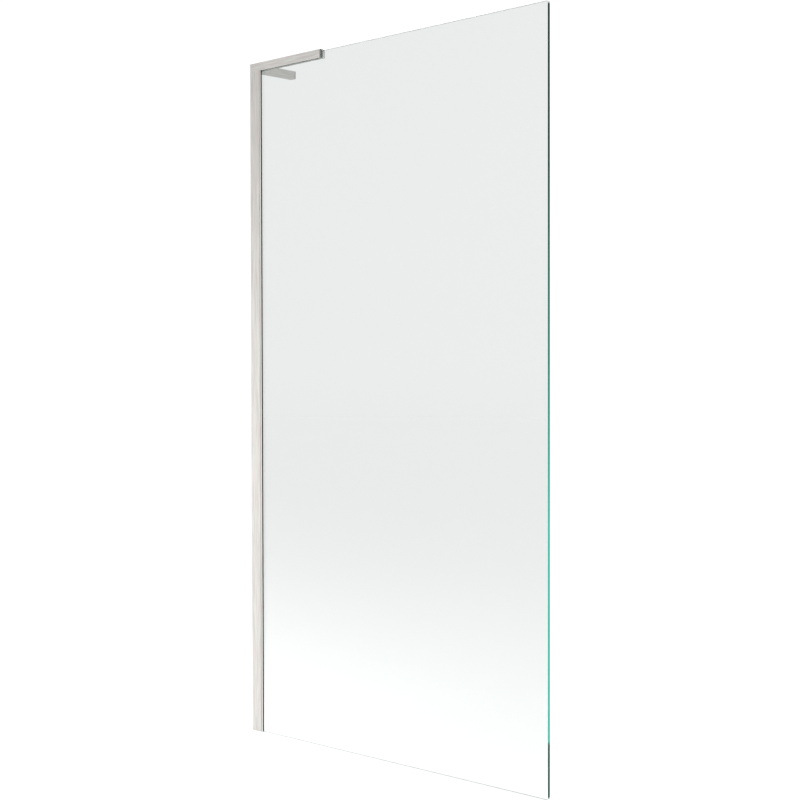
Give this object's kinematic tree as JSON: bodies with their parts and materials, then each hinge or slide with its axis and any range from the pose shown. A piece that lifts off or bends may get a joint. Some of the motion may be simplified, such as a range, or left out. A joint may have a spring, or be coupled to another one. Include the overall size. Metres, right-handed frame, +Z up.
{
  "type": "bath screen",
  "caption": "Fixed glass bath screen in a telescoping wall profile, braced by a channelled top rail over the glass edge and a concealed-fixing arm that returns along the wall.",
  "frame": {"origin": "on the wall plane, in the middle of the glass thickness, at the bottom edge of the screen, where it stands on the bath rim", "axes": "+X along the glass, away from the wall; +Y to the side of the wall arm; +Z up"},
  "size_m": [0.85, 0.127, 1.5],
  "materials": {
    "brushed_steel": "fine long-grain brushed, satin",
    "plain_steel": "plain bright-drawn steel",
    "screw_steel": "turned stainless steel",
    "clear_glass": "clear toughened float glass with a green polished edge",
    "gasket_rubber": "matt dark grey extruded rubber",
    "liner_plastic": "translucent grey soft plastic",
    "plug_plastic": "moulded grey plastic",
    "cap_plastic": "satin silver plastic"
  },
  "bodies": {
    "wall_frame": {"wall_channel": "brushed_steel", "channel_foot_plug": "plug_plastic", "channel_key": "plain_steel", "key_screws": "screw_steel", "top_rail": "brushed_steel", "rail_liner": "gasket_rubber", "clamp_strip": "plain_steel", "clamp_screws": "screw_steel", "wall_arm": "brushed_steel", "arm_base": "plain_steel", "arm_end_cap": "brushed_steel", "arm_grub_screws": "screw_steel", "corner_screws": "screw_steel"},
    "glass_panel": {"glass_pane": "clear_glass", "glazing_profile": "brushed_steel", "front_gasket": "gasket_rubber", "rear_gasket": "gasket_rubber", "edge_spacers": "liner_plastic", "glazing_foot_cap": "plug_plastic", "lock_screws": "screw_steel", "lock_washers": "screw_steel", "lock_screw_caps": "cap_plastic"}
  },
  "joints": [
    {"name": "width_adjust", "type": "slide", "parent": "wall_frame", "child": "glass_panel", "axis": [1, 0, 0], "range_m": [-0.004, 0.004]}
  ]
}
